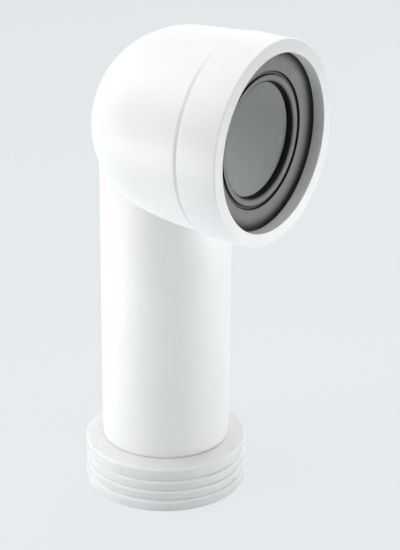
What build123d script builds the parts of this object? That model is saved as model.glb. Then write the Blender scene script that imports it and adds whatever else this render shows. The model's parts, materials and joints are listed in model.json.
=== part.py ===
"""A right-angle toilet pan connector.

A moulded elbow body carries a finned rubber seal on its tail, which pushes into a soil pipe,
and a rubber seal in its mouth, held by a snap-on cap, which stretches over the pan's spigot.

Frame: the origin is on the tail's axis at the bottom of the outlet seal, +Z runs up the tail
and +X runs out of the inlet mouth. Sizes are in millimetres.
"""
import math
import os

from build123d import *

# Tail
tail_diameter = 90.0
tail_wall = 3.0
inlet_axis_height = 270.0

# Elbow head: a dome behind the mouth that runs tangent into a slightly flared barrel
dome_radius = 65.5
dome_bulge = 0.5
barrel_length = 35.0
barrel_flare_deg = 4.0
head_wall = 3.2

# Mouth of the body: a sloped flank and a land that show as the seam, then a neck for the cap
shadow_groove_width = 3.5
shadow_groove_depth = 1.0
shadow_groove_flank = 1.8
neck_step = 0.8
neck_wall = 3.4
snap_ridge_height = 0.8
snap_ridge_width = 3.0
snap_ridge_setback = 5.0
shoulder_round = 0.6

# Retaining cap: an outer skirt, a front rim and an inner collar that leads the spigot in
cap_length = 29.0
cap_wall = 2.4
cap_clearance = 0.1
cap_flange_thickness = 3.0
cap_rim_overlap = 3.25
cap_collar_wall = 1.8
cap_collar_depth = 8.5
cap_front_round = 1.0
cap_mouth_round = 0.3
cap_back_round = 0.6

# Inlet seal, with depths measured inwards from the front
seal_clearance = 0.1
seal_flange_thickness = 2.5
seal_edge_round = 0.25
web_foot_depth = 10.8
web_thickness = 2.8
channel_width = 2.8
channel_depth = 1.4
channel_flank = 0.3
lip_depth = 11.0
lip_face_width = 5.2
lip_bore_diameter = 76.0
lip_round = 3.4
lip_wall_length = 1.8
lip_thickness = 3.0
lip_back_round = 0.8
seal_back_depth = 14.0
seal_back_rib = 4.0
seal_rib_flank = 2.8

# Outlet seal
fin_diameter = 114.0
fin_count = 4
fin_pitch = 7.7
top_fin_height = 9.8
fin_taper = 1.8
fin_tip_land = 1.2
collar_rise = 2.9
collar_chamfer = 0.8
foot_lip_thickness = 3.0
grip_ridge_height = 0.9
grip_ridge_width = 4.0
grip_ridge_setback = 14.0

# Places worked out from the sizes above
tail_radius = tail_diameter / 2
tail_bore_radius = tail_radius - tail_wall
flare = math.radians(barrel_flare_deg)
dome_x = dome_radius - tail_radius - dome_bulge
shoulder_x = dome_x + barrel_length
cap_back_x = shoulder_x + shadow_groove_width
front_x = cap_back_x + cap_length
neck_end_x = front_x - cap_flange_thickness - seal_flange_thickness


def barrel_radius(x, radius):
    """Radius at x of the cone that is tangent to a dome of the given radius."""
    return (radius + (x - dome_x) * math.sin(flare)) / math.cos(flare)


shoulder_radius = barrel_radius(shoulder_x, dome_radius)
land_radius = shoulder_radius - shadow_groove_depth
neck_radius = land_radius - neck_step
neck_bore_radius = neck_radius - neck_wall
cap_bore_radius = neck_radius + cap_clearance
cap_radius = cap_bore_radius + cap_wall
mouth_radius = neck_bore_radius - cap_rim_overlap
collar_radius = mouth_radius + cap_collar_wall
fin_radius = fin_diameter / 2
inlet_axis = Axis((0, 0, inlet_axis_height), (1, 0, 0))


def rounded_face(corners):
    """Closed outline in the XZ plane through (x, z, rounding) corners."""
    outline = Polyline(*[(x, z) for x, z, rounding in corners], close=True)
    face = make_face(outline)
    for x, z, rounding in corners:
        if rounding > 0:
            corner = face.vertices().sort_by_distance((x, z))[0]
            face = fillet(corner, rounding)
    return Plane.XZ * face


def around_inlet(corners):
    """Solid of revolution about the inlet axis, from (x, radius, rounding) corners."""
    lifted = [(x, inlet_axis_height + radius, rounding) for x, radius, rounding in corners]
    return revolve(rounded_face(lifted), inlet_axis, 360)


def around_tail(corners):
    """Solid of revolution about the tail's axis, from (radius, z, rounding) corners."""
    return revolve(rounded_face(corners), Axis.Z, 360)


def ridge(foot_a, foot_b, top_radius, foot_radius):
    """Corners of a low ridge with 45 degree flanks, from foot_a to foot_b along its axis."""
    step = math.copysign(top_radius - foot_radius, foot_b - foot_a)
    return [
        (foot_a, foot_radius, 0),
        (foot_a + step, top_radius, 0),
        (foot_b - step, top_radius, 0),
        (foot_b, foot_radius, 0),
    ]


def domed_plug(radius, end_x, end_radius):
    """Solid head shape: a dome of the given radius, its flared barrel and a neck to end_x."""
    tangent_x = dome_x - radius * math.sin(flare)
    tangent_radius = radius * math.cos(flare)
    mid_angle = (math.pi / 2 + flare) / 2
    back = (dome_x - radius, 0)
    mid = (dome_x - radius * math.cos(mid_angle), radius * math.sin(mid_angle))
    tangent = (tangent_x, tangent_radius)
    shoulder = (shoulder_x, barrel_radius(shoulder_x, radius))
    neck = (shoulder_x, end_radius)
    end = (end_x, end_radius)
    end_on_axis = (end_x, 0)
    outline = ThreePointArc(back, mid, tangent)
    outline += Polyline(tangent, shoulder, neck, end, end_on_axis, back)
    face = Plane.XZ * make_face(outline)
    return Pos(0, 0, inlet_axis_height) * revolve(face, Axis.X, 360)


def make_body():
    """Elbow head and tail, one moulding with an open way from the mouth to the tail's end."""
    land = around_inlet(
        [
            (shoulder_x, neck_bore_radius, 0),
            (shoulder_x, shoulder_radius, 0),
            (shoulder_x + shadow_groove_flank, land_radius, 0),
            (cap_back_x, land_radius, 0),
            (cap_back_x, neck_bore_radius, 0),
        ]
    )
    head = domed_plug(dome_radius, neck_end_x, neck_radius) + land
    shoulder_edge = head.edges().filter_by(GeomType.CIRCLE).sort_by(SortBy.RADIUS)[-1]
    head = fillet(shoulder_edge, shoulder_round)
    hollow = domed_plug(dome_radius - head_wall, front_x, neck_bore_radius)
    tail_length = inlet_axis_height - foot_lip_thickness
    up = (Align.CENTER, Align.CENTER, Align.MIN)
    tail = Pos(0, 0, foot_lip_thickness) * Cylinder(tail_radius, tail_length, align=up)
    tail_way = Pos(0, 0, foot_lip_thickness) * Cylinder(tail_bore_radius, tail_length, align=up)

    snap_x = cap_back_x + snap_ridge_setback
    snap_top = neck_radius + snap_ridge_height
    snap = around_inlet(
        [(snap_x, neck_bore_radius, 0)]
        + ridge(snap_x, snap_x + snap_ridge_width, snap_top, neck_radius)
        + [(snap_x + snap_ridge_width, neck_bore_radius, 0)]
    )
    grip_top = foot_lip_thickness + grip_ridge_setback
    grip_radius = tail_radius + grip_ridge_height
    grip_corners = ridge(grip_top - grip_ridge_width, grip_top, grip_radius, tail_radius)
    grip = around_tail(
        [(tail_bore_radius, grip_top - grip_ridge_width, 0)]
        + [(radius, z, 0) for z, radius, rounding in grip_corners]
        + [(tail_bore_radius, grip_top, 0)]
    )
    return head + tail + snap + grip - hollow - tail_way


def make_cap():
    """Ring that snaps over the neck up to the land, and traps the inlet seal with its collar."""
    flange_back_x = front_x - cap_flange_thickness
    collar_end_x = front_x - cap_collar_depth
    groove_start = cap_back_x + snap_ridge_setback - cap_clearance
    groove_end = groove_start + snap_ridge_width + 2 * cap_clearance
    groove_radius = cap_bore_radius + snap_ridge_height
    return around_inlet(
        [
            (cap_back_x, cap_bore_radius, 0),
            (cap_back_x, cap_radius, cap_back_round),
            (front_x, cap_radius, cap_front_round),
            (front_x, mouth_radius, cap_mouth_round),
            (collar_end_x, mouth_radius, 0),
            (collar_end_x, collar_radius, 0),
            (flange_back_x, collar_radius, 0),
            (flange_back_x, cap_bore_radius, 0),
        ]
        + ridge(groove_end, groove_start, groove_radius, cap_bore_radius)
    )


def make_inlet_seal():
    """Rubber seal: trapped flange, sleeve, funnel web, a flex channel and a rolled lip."""
    sleeve_bore_radius = collar_radius + seal_clearance
    lip_radius = lip_bore_diameter / 2
    channel_inner = lip_radius + lip_face_width
    channel_outer = channel_inner + channel_width
    channel_floor = web_foot_depth + channel_depth
    lip_end = lip_depth + lip_round + lip_wall_length
    sleeve_radius = neck_bore_radius - seal_clearance
    rib_radius = sleeve_radius - seal_back_rib
    flange_radius = cap_bore_radius - seal_clearance
    flange_front = cap_flange_thickness
    flange_back = flange_front + seal_flange_thickness
    from_front = [
        (flange_front, sleeve_bore_radius, 0),
        (cap_collar_depth, sleeve_bore_radius, 0),
        (cap_collar_depth, mouth_radius, 0),
        (web_foot_depth, channel_outer, seal_edge_round),
        (channel_floor, channel_outer - channel_flank, seal_edge_round),
        (channel_floor, channel_inner + channel_flank, seal_edge_round),
        (lip_depth, channel_inner, seal_edge_round),
        (lip_depth, lip_radius, lip_round),
        (lip_end, lip_radius, 0),
        (lip_end, lip_radius + lip_thickness, lip_back_round),
        (channel_floor + web_thickness, channel_inner + channel_flank, lip_back_round),
        (cap_collar_depth + web_thickness, rib_radius - seal_rib_flank, lip_back_round),
        (seal_back_depth, rib_radius, 0),
        (seal_back_depth, sleeve_radius, 0),
        (flange_back, sleeve_radius, 0),
        (flange_back, flange_radius, 0),
        (flange_front, flange_radius, 0),
    ]
    return around_inlet([(front_x - depth, radius, rounding) for depth, radius, rounding in from_front])


def make_outlet_seal():
    """Rubber sleeve over the tail's end with a stack of barbed fins and a lip under the tail."""
    collar_radius = tail_radius + seal_clearance
    root_radius = fin_radius - fin_taper
    corners = [(tail_bore_radius, 0, 0), (fin_radius, 0, 0), (fin_radius, fin_pitch, 0)]
    top = fin_pitch
    for fin in range(1, fin_count):
        height = top_fin_height if fin == fin_count - 1 else fin_pitch
        corners.append((root_radius, top, 0))
        top += height
        corners.append((fin_radius, top - fin_tip_land, 0))
        corners.append((fin_radius, top, 0))
    collar_top = top + collar_rise
    grip_top = foot_lip_thickness + grip_ridge_setback + seal_clearance
    grip_bottom = grip_top - grip_ridge_width - 2 * seal_clearance
    grip_corners = ridge(grip_top, grip_bottom, collar_radius + grip_ridge_height, collar_radius)
    corners += [
        (collar_radius + collar_chamfer, collar_top, 0),
        (collar_radius, collar_top - collar_chamfer, 0),
    ]
    corners += [(radius, z, 0) for z, radius, rounding in grip_corners]
    corners += [
        (collar_radius, foot_lip_thickness, 0),
        (tail_bore_radius, foot_lip_thickness, 0),
    ]
    return around_tail(corners)


pieces = {
    "body": make_body(),
    "inlet_retaining_cap": make_cap(),
    "inlet_seal": make_inlet_seal(),
    "outlet_fin_seal": make_outlet_seal(),
}
os.makedirs("parts", exist_ok=True)
for name, piece in pieces.items():
    export_step(piece, f"parts/{name}.step")
    print(name, "volume", round(piece.volume), "size", piece.bounding_box().size)
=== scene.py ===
# %% [markdown]
# # A right-angle toilet pan connector
#
# The real thing is four mouldings. An elbow body of white polypropylene carries a finned white
# rubber seal on its tail, and a grey rubber seal sits in its mouth, held by a snap-on cap. This
# lesson dresses the exact solids. Three of them are turned shapes, so they are remade here with
# rounded edges by one Geometry Nodes tree, and all four get finishes built from nodes.

# %% Load the exact model
import json
import math

import bpy
from mathutils import Matrix, Vector


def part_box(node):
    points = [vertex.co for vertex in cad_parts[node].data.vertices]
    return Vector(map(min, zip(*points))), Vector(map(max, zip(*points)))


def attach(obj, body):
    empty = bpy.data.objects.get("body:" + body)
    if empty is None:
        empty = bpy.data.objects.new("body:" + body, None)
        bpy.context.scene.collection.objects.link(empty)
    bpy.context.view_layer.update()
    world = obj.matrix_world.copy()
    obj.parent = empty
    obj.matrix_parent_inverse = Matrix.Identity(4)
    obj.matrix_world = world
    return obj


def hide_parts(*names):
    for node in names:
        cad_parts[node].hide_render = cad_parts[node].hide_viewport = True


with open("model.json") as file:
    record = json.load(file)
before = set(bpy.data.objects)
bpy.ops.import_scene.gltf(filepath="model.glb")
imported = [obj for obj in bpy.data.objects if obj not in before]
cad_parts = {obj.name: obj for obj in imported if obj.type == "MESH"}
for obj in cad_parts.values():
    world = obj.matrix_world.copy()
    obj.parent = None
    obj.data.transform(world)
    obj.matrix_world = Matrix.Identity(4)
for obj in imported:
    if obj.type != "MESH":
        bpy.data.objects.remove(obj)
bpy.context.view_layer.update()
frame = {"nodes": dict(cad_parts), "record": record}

MM = 0.001

# %% [markdown]
# ## Read the sizes from the frame
#
# Everything that is turned needs its axis and a few radii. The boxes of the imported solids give
# them, so the dressed part follows the exact one when a size changes. The tail's axis is the Z
# axis, and the inlet's axis runs along X at the middle of the cap's height.

# %% Axis heights and radii
cap_low, cap_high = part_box("inlet_retaining_cap")
seal_low, seal_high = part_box("inlet_seal")
fins_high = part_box("outlet_fin_seal")[1]
inlet_height = (cap_low.z + cap_high.z) / 2
front_x = cap_high.x
cap_back_x = cap_low.x
cap_radius = (cap_high.z - cap_low.z) / 2
flange_radius = (seal_high.z - seal_low.z) / 2
fin_radius = fins_high.x
collar_top = fins_high.z
mounts = {mount["name"]: mount for mount in frame["record"]["mounts"]}
lip_radius = mounts["inlet"]["dims"]["r_mm"] * MM
print("inlet axis at", round(inlet_height / MM, 1), "mm, cap radius", round(cap_radius / MM, 2), "mm")

# %% [markdown]
# ## Small helpers
#
# Colours are written as the hex values a designer would pick and turned to the linear values
# that shaders work in. One function adds a node, sets what it is given and links its inputs, so
# that every material and tree below reads as a list of what it is made of.


# %% Colour and node helpers
def linear(hex_colour):
    """Linear RGBA of an sRGB hex colour such as "f2f3f4"."""
    values = [int(hex_colour[i:i + 2], 16) / 255 for i in (0, 2, 4)]
    curve = [v / 12.92 if v <= 0.04045 else ((v + 0.055) / 1.055) ** 2.4 for v in values]
    return (*curve, 1.0)


def add_node(tree, kind, inputs=None, **settings):
    """A new node of a tree: settings are its own properties, inputs are values or sockets."""
    node = tree.nodes.new(kind)
    for name, value in settings.items():
        setattr(node, name, value)
    for name, value in (inputs or {}).items():
        if isinstance(value, bpy.types.NodeSocket):
            tree.links.new(value, node.inputs[name])
        else:
            node.inputs[name].default_value = value
    return node


def new_material(name):
    """An empty node material and its tree."""
    material = bpy.data.materials.new(name)
    material.use_nodes = True
    material.node_tree.nodes.clear()
    return material, material.node_tree


def set_ramp(ramp, low, low_colour, high, high_colour):
    """Gives a colour ramp its two stops."""
    for stop, place, colour in zip(ramp.color_ramp.elements, (low, high), (low_colour, high_colour)):
        stop.position = place
        stop.color = linear(colour)


print("helpers ready, mid grey 808080 is", round(linear("808080")[0], 3), "in linear light")

# %% [markdown]
# ## White moulded polypropylene
#
# The elbow and the cap are injection-moulded polypropylene. It is a milky white plastic with a
# satin gloss, and the polish of the tool leaves a very faint orange peel that softens the
# reflections. Slow clouds of slightly cooler white follow the flow of the melt. A plain white
# shader would look like chalk, so light is let into the skin: a few millimetres into the elbow and
# through its wall, whose inside then glows a soft grey instead of going black, and less far into
# the cap. A bevel in the shader rounds the small moulded creases.


# %% Polypropylene finish
def polypropylene(name, colour, cool_colour, roughness, crease_radius, milky_depth):
    """Moulded white polypropylene with a faint orange peel, soft creases and a milky depth."""
    peel_size = 2.2 * MM
    peel_height = 0.1 * MM
    peel_strength = 0.05
    cloud_size = 45 * MM
    material, tree = new_material(name)
    place = add_node(tree, "ShaderNodeTexCoord").outputs["Object"]
    cloud = add_node(tree, "ShaderNodeTexNoise", {"Vector": place, "Scale": 1 / cloud_size, "Detail": 3.0})
    tint = add_node(tree, "ShaderNodeValToRGB", {"Fac": cloud.outputs["Fac"]})
    set_ramp(tint, 0.3, cool_colour, 0.7, colour)
    peel = add_node(tree, "ShaderNodeTexNoise", {"Vector": place, "Scale": 1 / peel_size, "Detail": 2.0})
    crease = add_node(tree, "ShaderNodeBevel", {"Radius": crease_radius}, samples=6)
    bump = add_node(
        tree, "ShaderNodeBump",
        {
            "Height": peel.outputs["Fac"],
            "Strength": peel_strength,
            "Distance": peel_height,
            "Normal": crease.outputs["Normal"],
        },
    )
    shader = add_node(
        tree, "ShaderNodeBsdfPrincipled",
        {
            "Base Color": tint.outputs["Color"],
            "Roughness": roughness,
            "IOR": 1.49,
            "Subsurface Weight": 1.0,
            "Subsurface Radius": (1.0, 1.0, 1.0),
            "Subsurface Scale": milky_depth,
            "Normal": bump.outputs["Normal"],
        },
    )
    add_node(tree, "ShaderNodeOutputMaterial", {"Surface": shader.outputs["BSDF"]})
    return material


body_plastic = polypropylene(
    "moulded_white_polypropylene", "f1f2f2", "eeefef",
    roughness=0.45, crease_radius=0.3 * MM, milky_depth=4.5 * MM,
)
cap_plastic = polypropylene(
    "moulded_white_polypropylene_cap", "eff0f0", "eceded",
    roughness=0.45, crease_radius=0.2 * MM, milky_depth=0.8 * MM,
)
print("made", body_plastic.name, "and", cap_plastic.name)

# %% [markdown]
# ## Rubber
#
# The inlet seal is a dark grey moulded rubber and the outlet seal a soft white one. Rubber has a
# duller, broader sheen than the plastic, and a fine grain from the mould. The two differ mostly in
# their tint, so they share one function, which is given another function that makes the tint.


# %% Rubber finish
def rubber(name, tint_of, roughness, gloss, milky_share):
    """Moulded rubber with a matt sheen and a fine grain. tint_of makes the colour's socket."""
    # The real grain is finer. It is drawn this coarse so that it shows.
    grain_size = 0.8 * MM
    grain_height = 0.05 * MM
    grain_strength = 0.15
    mottle_size = 9 * MM
    milky_depth = 2.0 * MM
    material, tree = new_material(name)
    coordinates = add_node(tree, "ShaderNodeTexCoord").outputs
    place = coordinates["Object"]
    mottle = add_node(
        tree, "ShaderNodeTexNoise", {"Vector": place, "Scale": 1 / mottle_size, "Detail": 4.0}
    )
    grain = add_node(tree, "ShaderNodeTexNoise", {"Vector": place, "Scale": 1 / grain_size, "Detail": 2.0})
    bump = add_node(
        tree, "ShaderNodeBump",
        {"Height": grain.outputs["Fac"], "Strength": grain_strength, "Distance": grain_height},
    )
    shader = add_node(
        tree, "ShaderNodeBsdfPrincipled",
        {
            "Base Color": tint_of(tree, mottle.outputs["Fac"], coordinates),
            "Roughness": roughness,
            "Specular IOR Level": gloss,
            "Subsurface Weight": milky_share,
            "Subsurface Radius": (1.0, 1.0, 1.0),
            "Subsurface Scale": milky_depth,
            "Normal": bump.outputs["Normal"],
        },
    )
    add_node(tree, "ShaderNodeOutputMaterial", {"Surface": shader.outputs["BSDF"]})
    return material


print("rubber finish ready")

# %% [markdown]
# ## Painted shade on the dark rubber
#
# The dark seal's colour has its shade and light painted in: grey on its open front, nearly black in
# its folds and its bore, where shade falls. It could be painted in a texture, but it is computed from
# the shape, so it follows the shape when that changes. The grey is driven by how far the skin faces
# out of the mouth, along X, and by how open it lies, from ambient occlusion. A painted shadow
# darkens one side of the mouth, along Y, and painted light brightens its upper half, along Z.


# %% Dark inlet rubber
def painted_shade_grey(tree, mottle, coordinates):
    """Painted shade on dark rubber: grey where open and facing out of the mouth, black in folds."""
    fold_reach = 13 * MM
    facing_none = 0.65
    facing_full = 0.97
    open_none = 0.75
    open_full = 0.91
    side_shadow_least = -0.08
    side_shadow_most = 0.05
    upper_light_most = 0.13
    thin_patch = 0.8
    thick_patch = 1.1
    # Painted shade: skin that turns away from the mouth's outward X is made darker.
    outwards = add_node(tree, "ShaderNodeSeparateXYZ", {"Vector": coordinates["Normal"]}).outputs["X"]
    facing = add_node(
        tree, "ShaderNodeMapRange",
        {"Value": outwards, "From Min": facing_none, "From Max": facing_full},
    ).outputs["Result"]
    place = add_node(tree, "ShaderNodeSeparateXYZ", {"Vector": coordinates["Object"]}).outputs
    # Painted shadow: the rubber is made darker towards the +Y side of the mouth.
    side_shadow = add_node(
        tree, "ShaderNodeMapRange",
        {
            "Value": place["Y"],
            "From Min": -flange_radius,
            "From Max": flange_radius,
            "To Min": side_shadow_least,
            "To Max": side_shadow_most,
        },
    ).outputs["Result"]
    # Painted light: the upper half of the mouth is made lighter.
    upper_light = add_node(
        tree, "ShaderNodeMapRange",
        {
            "Value": place["Z"],
            "From Min": inlet_height,
            "From Max": inlet_height + flange_radius,
            "To Max": upper_light_most,
        },
    ).outputs["Result"]
    # Painted shade: ambient occlusion darkens the folds, the channel and the bore.
    openness = add_node(
        tree, "ShaderNodeAmbientOcclusion", {"Distance": fold_reach}, samples=8
    ).outputs["AO"]
    open_and_upper_light = add_node(tree, "ShaderNodeMath", {0: openness, 1: upper_light}, operation="ADD").outputs[0]
    painted_light_level = add_node(tree, "ShaderNodeMath", {0: open_and_upper_light, 1: side_shadow}, operation="SUBTRACT").outputs[0]
    painted_open_light = add_node(
        tree, "ShaderNodeMapRange", {"Value": painted_light_level, "From Min": open_none, "From Max": open_full}
    ).outputs["Result"]
    painted_light_share = add_node(tree, "ShaderNodeMath", {0: facing, 1: painted_open_light}, operation="MULTIPLY").outputs[0]
    uneven = add_node(
        tree, "ShaderNodeMapRange", {"Value": mottle, "To Min": thin_patch, "To Max": thick_patch}
    ).outputs["Result"]
    painted_light_with_mottle = add_node(tree, "ShaderNodeMath", {0: painted_light_share, 1: uneven}, operation="MULTIPLY").outputs[0]
    # The ramp runs from the near black of painted shade to the grey of the painted lit front.
    tint = add_node(tree, "ShaderNodeValToRGB", {"Fac": painted_light_with_mottle})
    set_ramp(tint, 0.0, "0d0d0e", 1.0, "848587")
    return tint.outputs["Color"]


dark_rubber = rubber(
    "moulded_dark_grey_rubber", painted_shade_grey, roughness=0.5, gloss=0.12, milky_share=0.0
)
print("made", dark_rubber.name)

# %% [markdown]
# ## White rubber
#
# The outlet seal is white right through. It is a little milky, so its thin fin edges look light,
# and it needs only slight mottling, from the noise that every rubber here gets.


# %% White outlet rubber
def mottled_white(tree, mottle, coordinates):
    """White rubber, slightly uneven."""
    tint = add_node(tree, "ShaderNodeValToRGB", {"Fac": mottle})
    set_ramp(tint, 0.35, "e0e1e1", 0.65, "e4e5e5")
    return tint.outputs["Color"]


white_rubber = rubber("moulded_white_rubber", mottled_white, roughness=0.55, gloss=0.4, milky_share=1.0)
print("made", white_rubber.name)

# %% [markdown]
# ## A tree that turns a profile
#
# A seal or a ring is one outline carried round an axis, as on a lathe. A Screw modifier could turn
# it, but a tree can round the corners first. The outline is a curve whose points hold the rounding
# of each corner in their radius. The tree fillets the corners, sweeps the outline round a ring,
# keeps edges sharper than a limit crisp, and gives the skin its material. The number of segments
# and the rounding stay open to change.


# %% Turning tree
def turning_tree():
    """Geometry Nodes tree that sweeps a filleted outline round a ring."""
    tree = bpy.data.node_groups.new("turned_piece", "GeometryNodeTree")
    ports = tree.interface
    ports.new_socket("Outline", in_out="INPUT", socket_type="NodeSocketGeometry")
    for name, kind, value in (
        ("Ring Radius", "NodeSocketFloat", 0.05),
        ("Segments", "NodeSocketInt", 192),
        ("Corner Steps", "NodeSocketInt", 6),
        ("Crisp Angle", "NodeSocketFloat", math.radians(40)),
    ):
        ports.new_socket(name, in_out="INPUT", socket_type=kind).default_value = value
    ports.new_socket("Finish", in_out="INPUT", socket_type="NodeSocketMaterial")
    ports.new_socket("Piece", in_out="OUTPUT", socket_type="NodeSocketGeometry")
    given = add_node(tree, "NodeGroupInput").outputs
    rounding = add_node(tree, "GeometryNodeInputRadius").outputs["Radius"]
    filleted = add_node(
        tree, "GeometryNodeFilletCurve",
        {
            "Curve": given["Outline"],
            "Count": given["Corner Steps"],
            "Radius": rounding,
            "Limit Radius": True,
        },
        mode="POLY",
    )
    even = add_node(tree, "GeometryNodeSetCurveRadius", {"Curve": filleted.outputs["Curve"], "Radius": 1.0})
    ring = add_node(
        tree, "GeometryNodeCurvePrimitiveCircle",
        {"Resolution": given["Segments"], "Radius": given["Ring Radius"]},
    )
    swept = add_node(
        tree, "GeometryNodeCurveToMesh",
        {"Curve": ring.outputs["Curve"], "Profile Curve": even.outputs["Curve"]},
    )
    bend = add_node(tree, "GeometryNodeInputMeshEdgeAngle").outputs["Unsigned Angle"]
    gentle = add_node(
        tree, "FunctionNodeCompare", {"A": bend, "B": given["Crisp Angle"]}, operation="LESS_THAN"
    ).outputs["Result"]
    faces = add_node(tree, "GeometryNodeSetShadeSmooth", {"Geometry": swept.outputs["Mesh"]}, domain="FACE")
    edges = add_node(
        tree, "GeometryNodeSetShadeSmooth",
        {"Geometry": faces.outputs["Geometry"], "Shade Smooth": gentle}, domain="EDGE",
    )
    real = add_node(tree, "GeometryNodeRealizeInstances", {"Geometry": edges.outputs["Geometry"]})
    dressed = add_node(
        tree, "GeometryNodeSetMaterial",
        {"Geometry": real.outputs["Geometry"], "Material": given["Finish"]},
    )
    add_node(tree, "NodeGroupOutput", {"Piece": dressed.outputs["Geometry"]})
    return tree


turning = turning_tree()
socket_ids = {item.name: item.identifier for item in turning.interface.items_tree}
print("turning tree inputs", [name for name in socket_ids if name not in ("Outline", "Piece")])

# %% [markdown]
# ## Using the tree
#
# Each turned piece is written as a list of corners, with a radius, a height and a rounding. A
# short-lived curve carries them through the tree, and its result becomes a plain mesh that is
# moved to its place, upright on the tail's axis or lying along the inlet's.


# %% Turning a piece
def turned(name, corners, place, finish):
    """A plain mesh object turned from (radius, height, rounding) corners, then moved by place."""
    ring_radius = sum(radius for radius, height, rounding in corners) / len(corners)
    curve = bpy.data.curves.new(name + "_outline", "CURVE")
    curve.dimensions = "3D"
    spline = curve.splines.new("POLY")
    spline.points.add(len(corners) - 1)
    spline.use_cyclic_u = True
    # The sweep carries the outline's Y down the ring's axis, so heights change sign, and the
    # corners run backwards so that the faces still point outwards.
    for point, (radius, height, rounding) in zip(spline.points, reversed(corners)):
        point.co = (radius - ring_radius, -height, 0, 1)
        point.radius = rounding
    maker = bpy.data.objects.new(name + "_maker", curve)
    bpy.context.scene.collection.objects.link(maker)
    lathe = maker.modifiers.new("turning", "NODES")
    lathe.node_group = turning
    lathe[socket_ids["Ring Radius"]] = ring_radius
    lathe[socket_ids["Finish"]] = finish
    bpy.context.view_layer.update()
    seen = maker.evaluated_get(bpy.context.evaluated_depsgraph_get())
    mesh = bpy.data.meshes.new_from_object(seen)
    bpy.data.objects.remove(maker)
    bpy.data.curves.remove(curve)
    mesh.name = name
    mesh.transform(place)
    piece = bpy.data.objects.new(name, mesh)
    bpy.context.scene.collection.objects.link(piece)
    corners_seen = [Vector(corner) for corner in piece.bound_box]
    low = [round(min(c[i] for c in corners_seen) / MM, 2) for i in range(3)]
    high = [round(max(c[i] for c in corners_seen) / MM, 2) for i in range(3)]
    print(name, "has", len(mesh.polygons), "faces, box", low, high, "mm")
    return piece


def ridge_groove(start, end, depth, foot_radius):
    """Corners of a groove with 45 degree flanks that a snap ridge sits in, from start to end."""
    step = math.copysign(depth, end - start)
    top_radius = foot_radius + depth
    return [
        (foot_radius, start, 0),
        (top_radius, start + step, 0),
        (top_radius, end - step, 0),
        (foot_radius, end, 0),
    ]


upright = Matrix.Identity(4)
along_inlet = Matrix.Translation((0, 0, inlet_height)) @ Matrix.Rotation(math.pi / 2, 4, "Y")
print("turned pieces stand on Z or lie along X at", round(inlet_height / MM, 1), "mm")

# %% [markdown]
# ## Outlet seal with its fins
#
# A thick rubber sleeve is pushed over the tail's end, and a stack of barbed fins stands on it.
# Each fin is widest at its top edge and narrows downwards, so that it slides into a soil pipe and
# bites against coming out. The sleeve's top edge closes on the tail, as stretched rubber does. The
# fins could be rings of their own, but they are moulded in one with the sleeve and follow a rule,
# so a loop writes them into one outline.

# %% Fin outline
fin_count = 4
fin_pitch = 7.7 * MM
top_fin_height = 9.8 * MM
fin_taper = 1.8 * MM
fin_tip_land = 1.2 * MM
fin_edge_round = 1.0 * MM
fin_foot_round = 0.8 * MM
collar_lead = 0.8 * MM
collar_bite = 0.1 * MM
sleeve_radius = 45.1 * MM
bore_radius = 42.0 * MM
foot_lip = 3.0 * MM
grip_groove_top = 17.1 * MM
grip_groove_width = 4.2 * MM
grip_groove_depth = 0.9 * MM

fin_corners = [
    (bore_radius, 0, 0),
    (fin_radius, 0, fin_foot_round),
    (fin_radius, fin_pitch, fin_edge_round),
]
fin_top = fin_pitch
for fin in range(1, fin_count):
    fin_corners.append((fin_radius - fin_taper, fin_top, fin_foot_round))
    fin_top += top_fin_height if fin == fin_count - 1 else fin_pitch
    fin_corners.append((fin_radius, fin_top - fin_tip_land, 0))
    fin_corners.append((fin_radius, fin_top, fin_edge_round))
fin_corners += [
    (sleeve_radius - collar_bite, collar_top, 0),
    (sleeve_radius, collar_top - collar_lead, 0),
]
grip_groove_bottom = grip_groove_top - grip_groove_width
fin_corners += ridge_groove(grip_groove_top, grip_groove_bottom, grip_groove_depth, sleeve_radius)
fin_corners += [(sleeve_radius, foot_lip, 0), (bore_radius, foot_lip, 0)]
outlet_seal = turned("outlet_fin_seal_rubber", fin_corners, upright, white_rubber)

# %% Put the outlet seal on the frame
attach(outlet_seal, "root")
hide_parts("outlet_fin_seal")
print(outlet_seal.name, "rides on root")

# %% [markdown]
# ## Inlet cap
#
# The cap snaps over the body's neck. Its front rim turns back inside the mouth as a collar, which
# leads the pan's spigot in and traps the seal, and which looks grey only because it is in shade.
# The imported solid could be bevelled, but turning the cap again gives cleaner edges: its front
# corner is rounded so that it catches a thin line of light. All of it is one outline, turned about
# the inlet's axis, with the snap groove inside.

# %% Cap outline
cap_wall = 2.4 * MM
cap_flange = 3.0 * MM
cap_front_round = 1.0 * MM
cap_back_round = 0.6 * MM
mouth_edge_round = 0.3 * MM
cap_rim_width = 9.15 * MM
collar_wall = 1.8 * MM
collar_depth = 8.5 * MM
snap_groove_start = 4.9 * MM
snap_groove_width = 3.2 * MM
snap_groove_depth = 0.8 * MM
cap_bore_radius = cap_radius - cap_wall
mouth_radius = cap_radius - cap_rim_width
collar_radius = mouth_radius + collar_wall
collar_end_x = front_x - collar_depth
flange_back_x = front_x - cap_flange
groove_x = cap_back_x + snap_groove_start
cap_corners = [
    (cap_bore_radius, cap_back_x, 0),
    (cap_radius, cap_back_x, cap_back_round),
    (cap_radius, front_x, cap_front_round),
    (mouth_radius, front_x, mouth_edge_round),
    (mouth_radius, collar_end_x, 0),
    (collar_radius, collar_end_x, 0),
    (collar_radius, flange_back_x, 0),
    (cap_bore_radius, flange_back_x, 0),
]
cap_corners += ridge_groove(groove_x + snap_groove_width, groove_x, snap_groove_depth, cap_bore_radius)
cap = turned("inlet_cap_ring", cap_corners, along_inlet, cap_plastic)

# %% Put the cap on the frame
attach(cap, "root")
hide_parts("inlet_retaining_cap")
print(cap.name, "rides on root")

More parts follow.
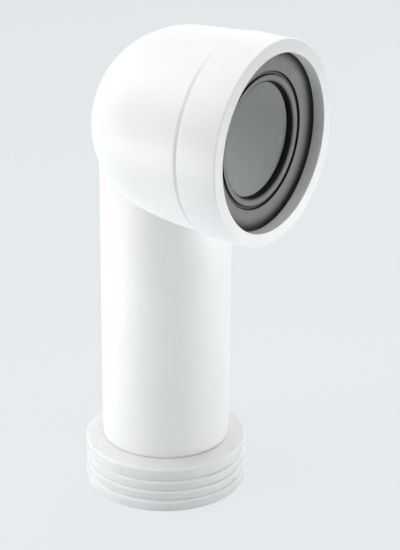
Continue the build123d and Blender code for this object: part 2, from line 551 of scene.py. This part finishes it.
# %% [markdown]
# ## Inlet seal
#
# The dark seal starts behind the cap's collar. A funnel web runs towards the middle, a narrow
# channel lets the lip flex, and the lip rolls into the hole that the pan's spigot stretches open.
# Its flange and sleeve are trapped out of sight. It is turned like the cap, because the lip's roll
# and the soft edges of the channel are what the eye reads as rubber. Depths are measured inwards
# from the front.

# %% Seal outline
seal_gap = 0.1 * MM
seal_edge_round = 0.25 * MM
web_foot_depth = 10.8 * MM
web_thickness = 2.8 * MM
channel_width = 2.8 * MM
channel_depth = 1.4 * MM
channel_flank = 0.3 * MM
lip_depth = 11.0 * MM
lip_face_width = 5.2 * MM
lip_round = 3.4 * MM
lip_wall_length = 1.8 * MM
lip_thickness = 3.0 * MM
lip_back_round = 0.8 * MM
seal_back_depth = 14.0 * MM
seal_flange = 2.5 * MM
seal_sleeve_inset = 3.5 * MM
seal_back_rib = 4.0 * MM
seal_rib_flank = 2.8 * MM

seal_sleeve_bore = collar_radius + seal_gap
seal_sleeve_radius = flange_radius - seal_sleeve_inset
rib_radius = seal_sleeve_radius - seal_back_rib
channel_inner = lip_radius + lip_face_width
channel_outer = channel_inner + channel_width
channel_floor = web_foot_depth + channel_depth
lip_end = lip_depth + lip_round + lip_wall_length
flange_back = cap_flange + seal_flange
seal_from_front = [
    (seal_sleeve_bore, cap_flange, 0),
    (seal_sleeve_bore, collar_depth, 0),
    (mouth_radius, collar_depth, 0),
    (channel_outer, web_foot_depth, seal_edge_round),
    (channel_outer - channel_flank, channel_floor, seal_edge_round),
    (channel_inner + channel_flank, channel_floor, seal_edge_round),
    (channel_inner, lip_depth, seal_edge_round),
    (lip_radius, lip_depth, lip_round),
    (lip_radius, lip_end, 0),
    (lip_radius + lip_thickness, lip_end, lip_back_round),
    (channel_inner + channel_flank, channel_floor + web_thickness, lip_back_round),
    (rib_radius - seal_rib_flank, collar_depth + web_thickness, lip_back_round),
    (rib_radius, seal_back_depth, 0),
    (seal_sleeve_radius, seal_back_depth, 0),
    (seal_sleeve_radius, flange_back, 0),
    (flange_radius, flange_back, 0),
    (flange_radius, cap_flange, 0),
]
seal_corners = [(radius, front_x - depth, rounding) for radius, depth, rounding in seal_from_front]
inlet_seal = turned("inlet_seal_rubber", seal_corners, along_inlet, dark_rubber)

# %% Put the inlet seal on the frame
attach(inlet_seal, "root")
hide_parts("inlet_seal")
print(inlet_seal.name, "rides on root")

# %% [markdown]
# ## Body
#
# The elbow's dome, barrel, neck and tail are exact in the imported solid. They could be modelled
# again, but nothing would be gained, so the solid stays and only gets its finish. The bevel in the
# plastic's shader rounds the crease where the tail meets the dome.

# %% Finish of the body
body = frame["nodes"]["body"]
body.data.materials.clear()
body.data.materials.append(body_plastic)
print("body has", len(body.data.polygons), "faces")

# %% [markdown]
# ## Pale sweep
#
# The part stands on a plain pale sweep of paper. Lamps that whiten real paper would burn out the
# white plastic. So the camera sees the sweep mostly as its own even colour, with a thin share of
# real light on top, which keeps the shadow. Other light meets plain paper and bounces back up.


# %% Paper sweep
def seen_directly(tree):
    """1 for rays that show the surroundings: from the camera, in a reflection or through glass."""
    path = add_node(tree, "ShaderNodeLightPath").outputs
    mirrored = add_node(
        tree, "ShaderNodeMath", {0: path["Is Glossy Ray"], 1: path["Is Transmission Ray"]},
        operation="MAXIMUM",
    )
    return add_node(
        tree, "ShaderNodeMath", {0: path["Is Camera Ray"], 1: mirrored.outputs[0]}, operation="MAXIMUM"
    ).outputs[0]


paper_colour = "e6eaed"
paper_glow = 0.925
paper_lit_share = 0.08
sweep_half = 8.0

paper, paper_tree = new_material("pale_paper_sweep")
glow = add_node(paper_tree, "ShaderNodeEmission", {"Color": linear(paper_colour), "Strength": paper_glow})
lit_colour = [paper_lit_share * channel for channel in linear(paper_colour)[:3]] + [1.0]
lit = add_node(paper_tree, "ShaderNodeBsdfDiffuse", {"Color": lit_colour})
shown = add_node(paper_tree, "ShaderNodeAddShader", {0: glow.outputs[0], 1: lit.outputs[0]})
plain = add_node(paper_tree, "ShaderNodeBsdfDiffuse", {"Color": linear(paper_colour)})
paper_mix = add_node(
    paper_tree, "ShaderNodeMixShader",
    {0: seen_directly(paper_tree), 1: plain.outputs[0], 2: shown.outputs[0]},
)
add_node(paper_tree, "ShaderNodeOutputMaterial", {"Surface": paper_mix.outputs[0]})

sweep_mesh = bpy.data.meshes.new("sweep")
sweep_corners = [(-1, -1), (1, -1), (1, 1), (-1, 1)]
sweep_mesh.from_pydata([(x * sweep_half, y * sweep_half, 0) for x, y in sweep_corners], [], [(0, 1, 2, 3)])
sweep_mesh.materials.append(paper)
sweep = bpy.data.objects.new("sweep", sweep_mesh)
bpy.context.scene.collection.objects.link(sweep)
print("sweep is", 2 * sweep_half, "m wide")

# %% Surroundings
world_light = 0.02
world = bpy.data.worlds.new("studio")
bpy.context.scene.world = world
world.use_nodes = True
world_tree = world.node_tree
world_tree.nodes.clear()
ambient = add_node(world_tree, "ShaderNodeBackground", {"Color": (1, 1, 1, 1), "Strength": world_light})
shown_world = add_node(
    world_tree, "ShaderNodeBackground", {"Color": linear(paper_colour), "Strength": 1.0}
)
world_mix = add_node(
    world_tree, "ShaderNodeMixShader",
    {0: seen_directly(world_tree), 1: ambient.outputs[0], 2: shown_world.outputs[0]},
)
add_node(world_tree, "ShaderNodeOutputWorld", {"Surface": world_mix.outputs[0]})
print("surroundings give", world_light, "of white light")

# %% [markdown]
# ## Camera
#
# A long lens looks down on the mouth's side of the part, as for a catalogue. The camera could be
# aimed at the part by a constraint, but its bearing, its height angle and a slight roll are
# written out, because the lamps take their bearings from it. The focal length is in picture
# pixels and is turned to the millimetres of a common sensor.

# %% Camera
photo_height = 550
focal_pixels = 1837.7
sensor_width_mm = 36.0
camera_azimuth = math.radians(35.116)
camera_elevation = math.radians(23.546)
camera_roll = math.radians(0.45)
camera_place = Vector((691.5, -942.2, 665.0)) * MM
towards_camera = Vector((
    math.sin(camera_azimuth) * math.cos(camera_elevation),
    -math.cos(camera_azimuth) * math.cos(camera_elevation),
    math.sin(camera_elevation),
))
camera_data = bpy.data.cameras.new("camera")
camera_data.sensor_width = sensor_width_mm
camera_data.lens = focal_pixels * sensor_width_mm / photo_height
camera = bpy.data.objects.new("camera", camera_data)
bpy.context.scene.collection.objects.link(camera)
camera.rotation_mode = "QUATERNION"
camera.location = camera_place
level = (-towards_camera).to_track_quat("-Z", "Y")
camera.rotation_quaternion = level @ Matrix.Rotation(camera_roll, 3, "Z").to_quaternion()
bpy.context.scene.camera = camera
print("lens", round(camera_data.lens, 1), "mm")

# %% [markdown]
# ## Lamps
#
# White plastic shows its form only by soft steps of light, so every lamp is a broad area lamp. A
# large soft box hangs above the part, two more stand high at its sides and two strips stand behind
# it. Two low reflectors near the sweep fill in from the left and the right, with a narrower spread
# that keeps them off the paper. Together they give a bright left side, a greyer middle and a
# lighter right edge. Bearings are in degrees from the camera's own, sizes and places in metres.


# %% Soft boxes
lamp_aim = Vector((0.02, 0, 0.17))


def softbox(name, bearing_deg, height, distance, width, tall, power, spread_deg=180):
    """A rectangular lamp at a bearing from the camera's own, aimed at the middle of the part."""
    bearing = camera_azimuth + math.radians(bearing_deg)
    place = Vector((math.sin(bearing) * distance, -math.cos(bearing) * distance, height))
    lamp_data = bpy.data.lights.new(name, "AREA")
    lamp_data.shape = "RECTANGLE"
    lamp_data.size = width
    lamp_data.size_y = tall
    lamp_data.energy = power
    lamp_data.spread = math.radians(spread_deg)
    lamp = bpy.data.objects.new(name, lamp_data)
    lamp.location = place
    lamp.rotation_mode = "QUATERNION"
    lamp.rotation_quaternion = (lamp_aim - place).to_track_quat("-Z", "Y")
    bpy.context.scene.collection.objects.link(lamp)
    print(name, "gives", power, "W")


softbox("top_softbox", 180, height=1.6, distance=0.05, width=1.2, tall=1.2, power=14.7)
softbox("left_high_softbox", -80, height=1.25, distance=0.95, width=1.0, tall=0.7, power=5.9)
softbox("right_high_softbox", 35, height=1.1, distance=1.1, width=0.7, tall=0.7, power=2.3)
softbox(
    "left_low_reflector", -68, height=0.12, distance=0.5, width=0.45, tall=0.2, power=0.69, spread_deg=110
)
softbox(
    "right_low_reflector", 73, height=0.12, distance=0.52, width=0.47, tall=0.2, power=0.64, spread_deg=110
)
softbox("back_left_strip", -125, height=0.9, distance=1.3, width=0.7, tall=0.9, power=2.2)
softbox("back_right_strip", 150, height=0.8, distance=1.35, width=0.4, tall=0.9, power=6.5)

# %% [markdown]
# ## Finish
#
# Colours go to the screen as they are, without a film look.

# %% Finish
bpy.context.scene.view_settings.view_transform = "Standard"
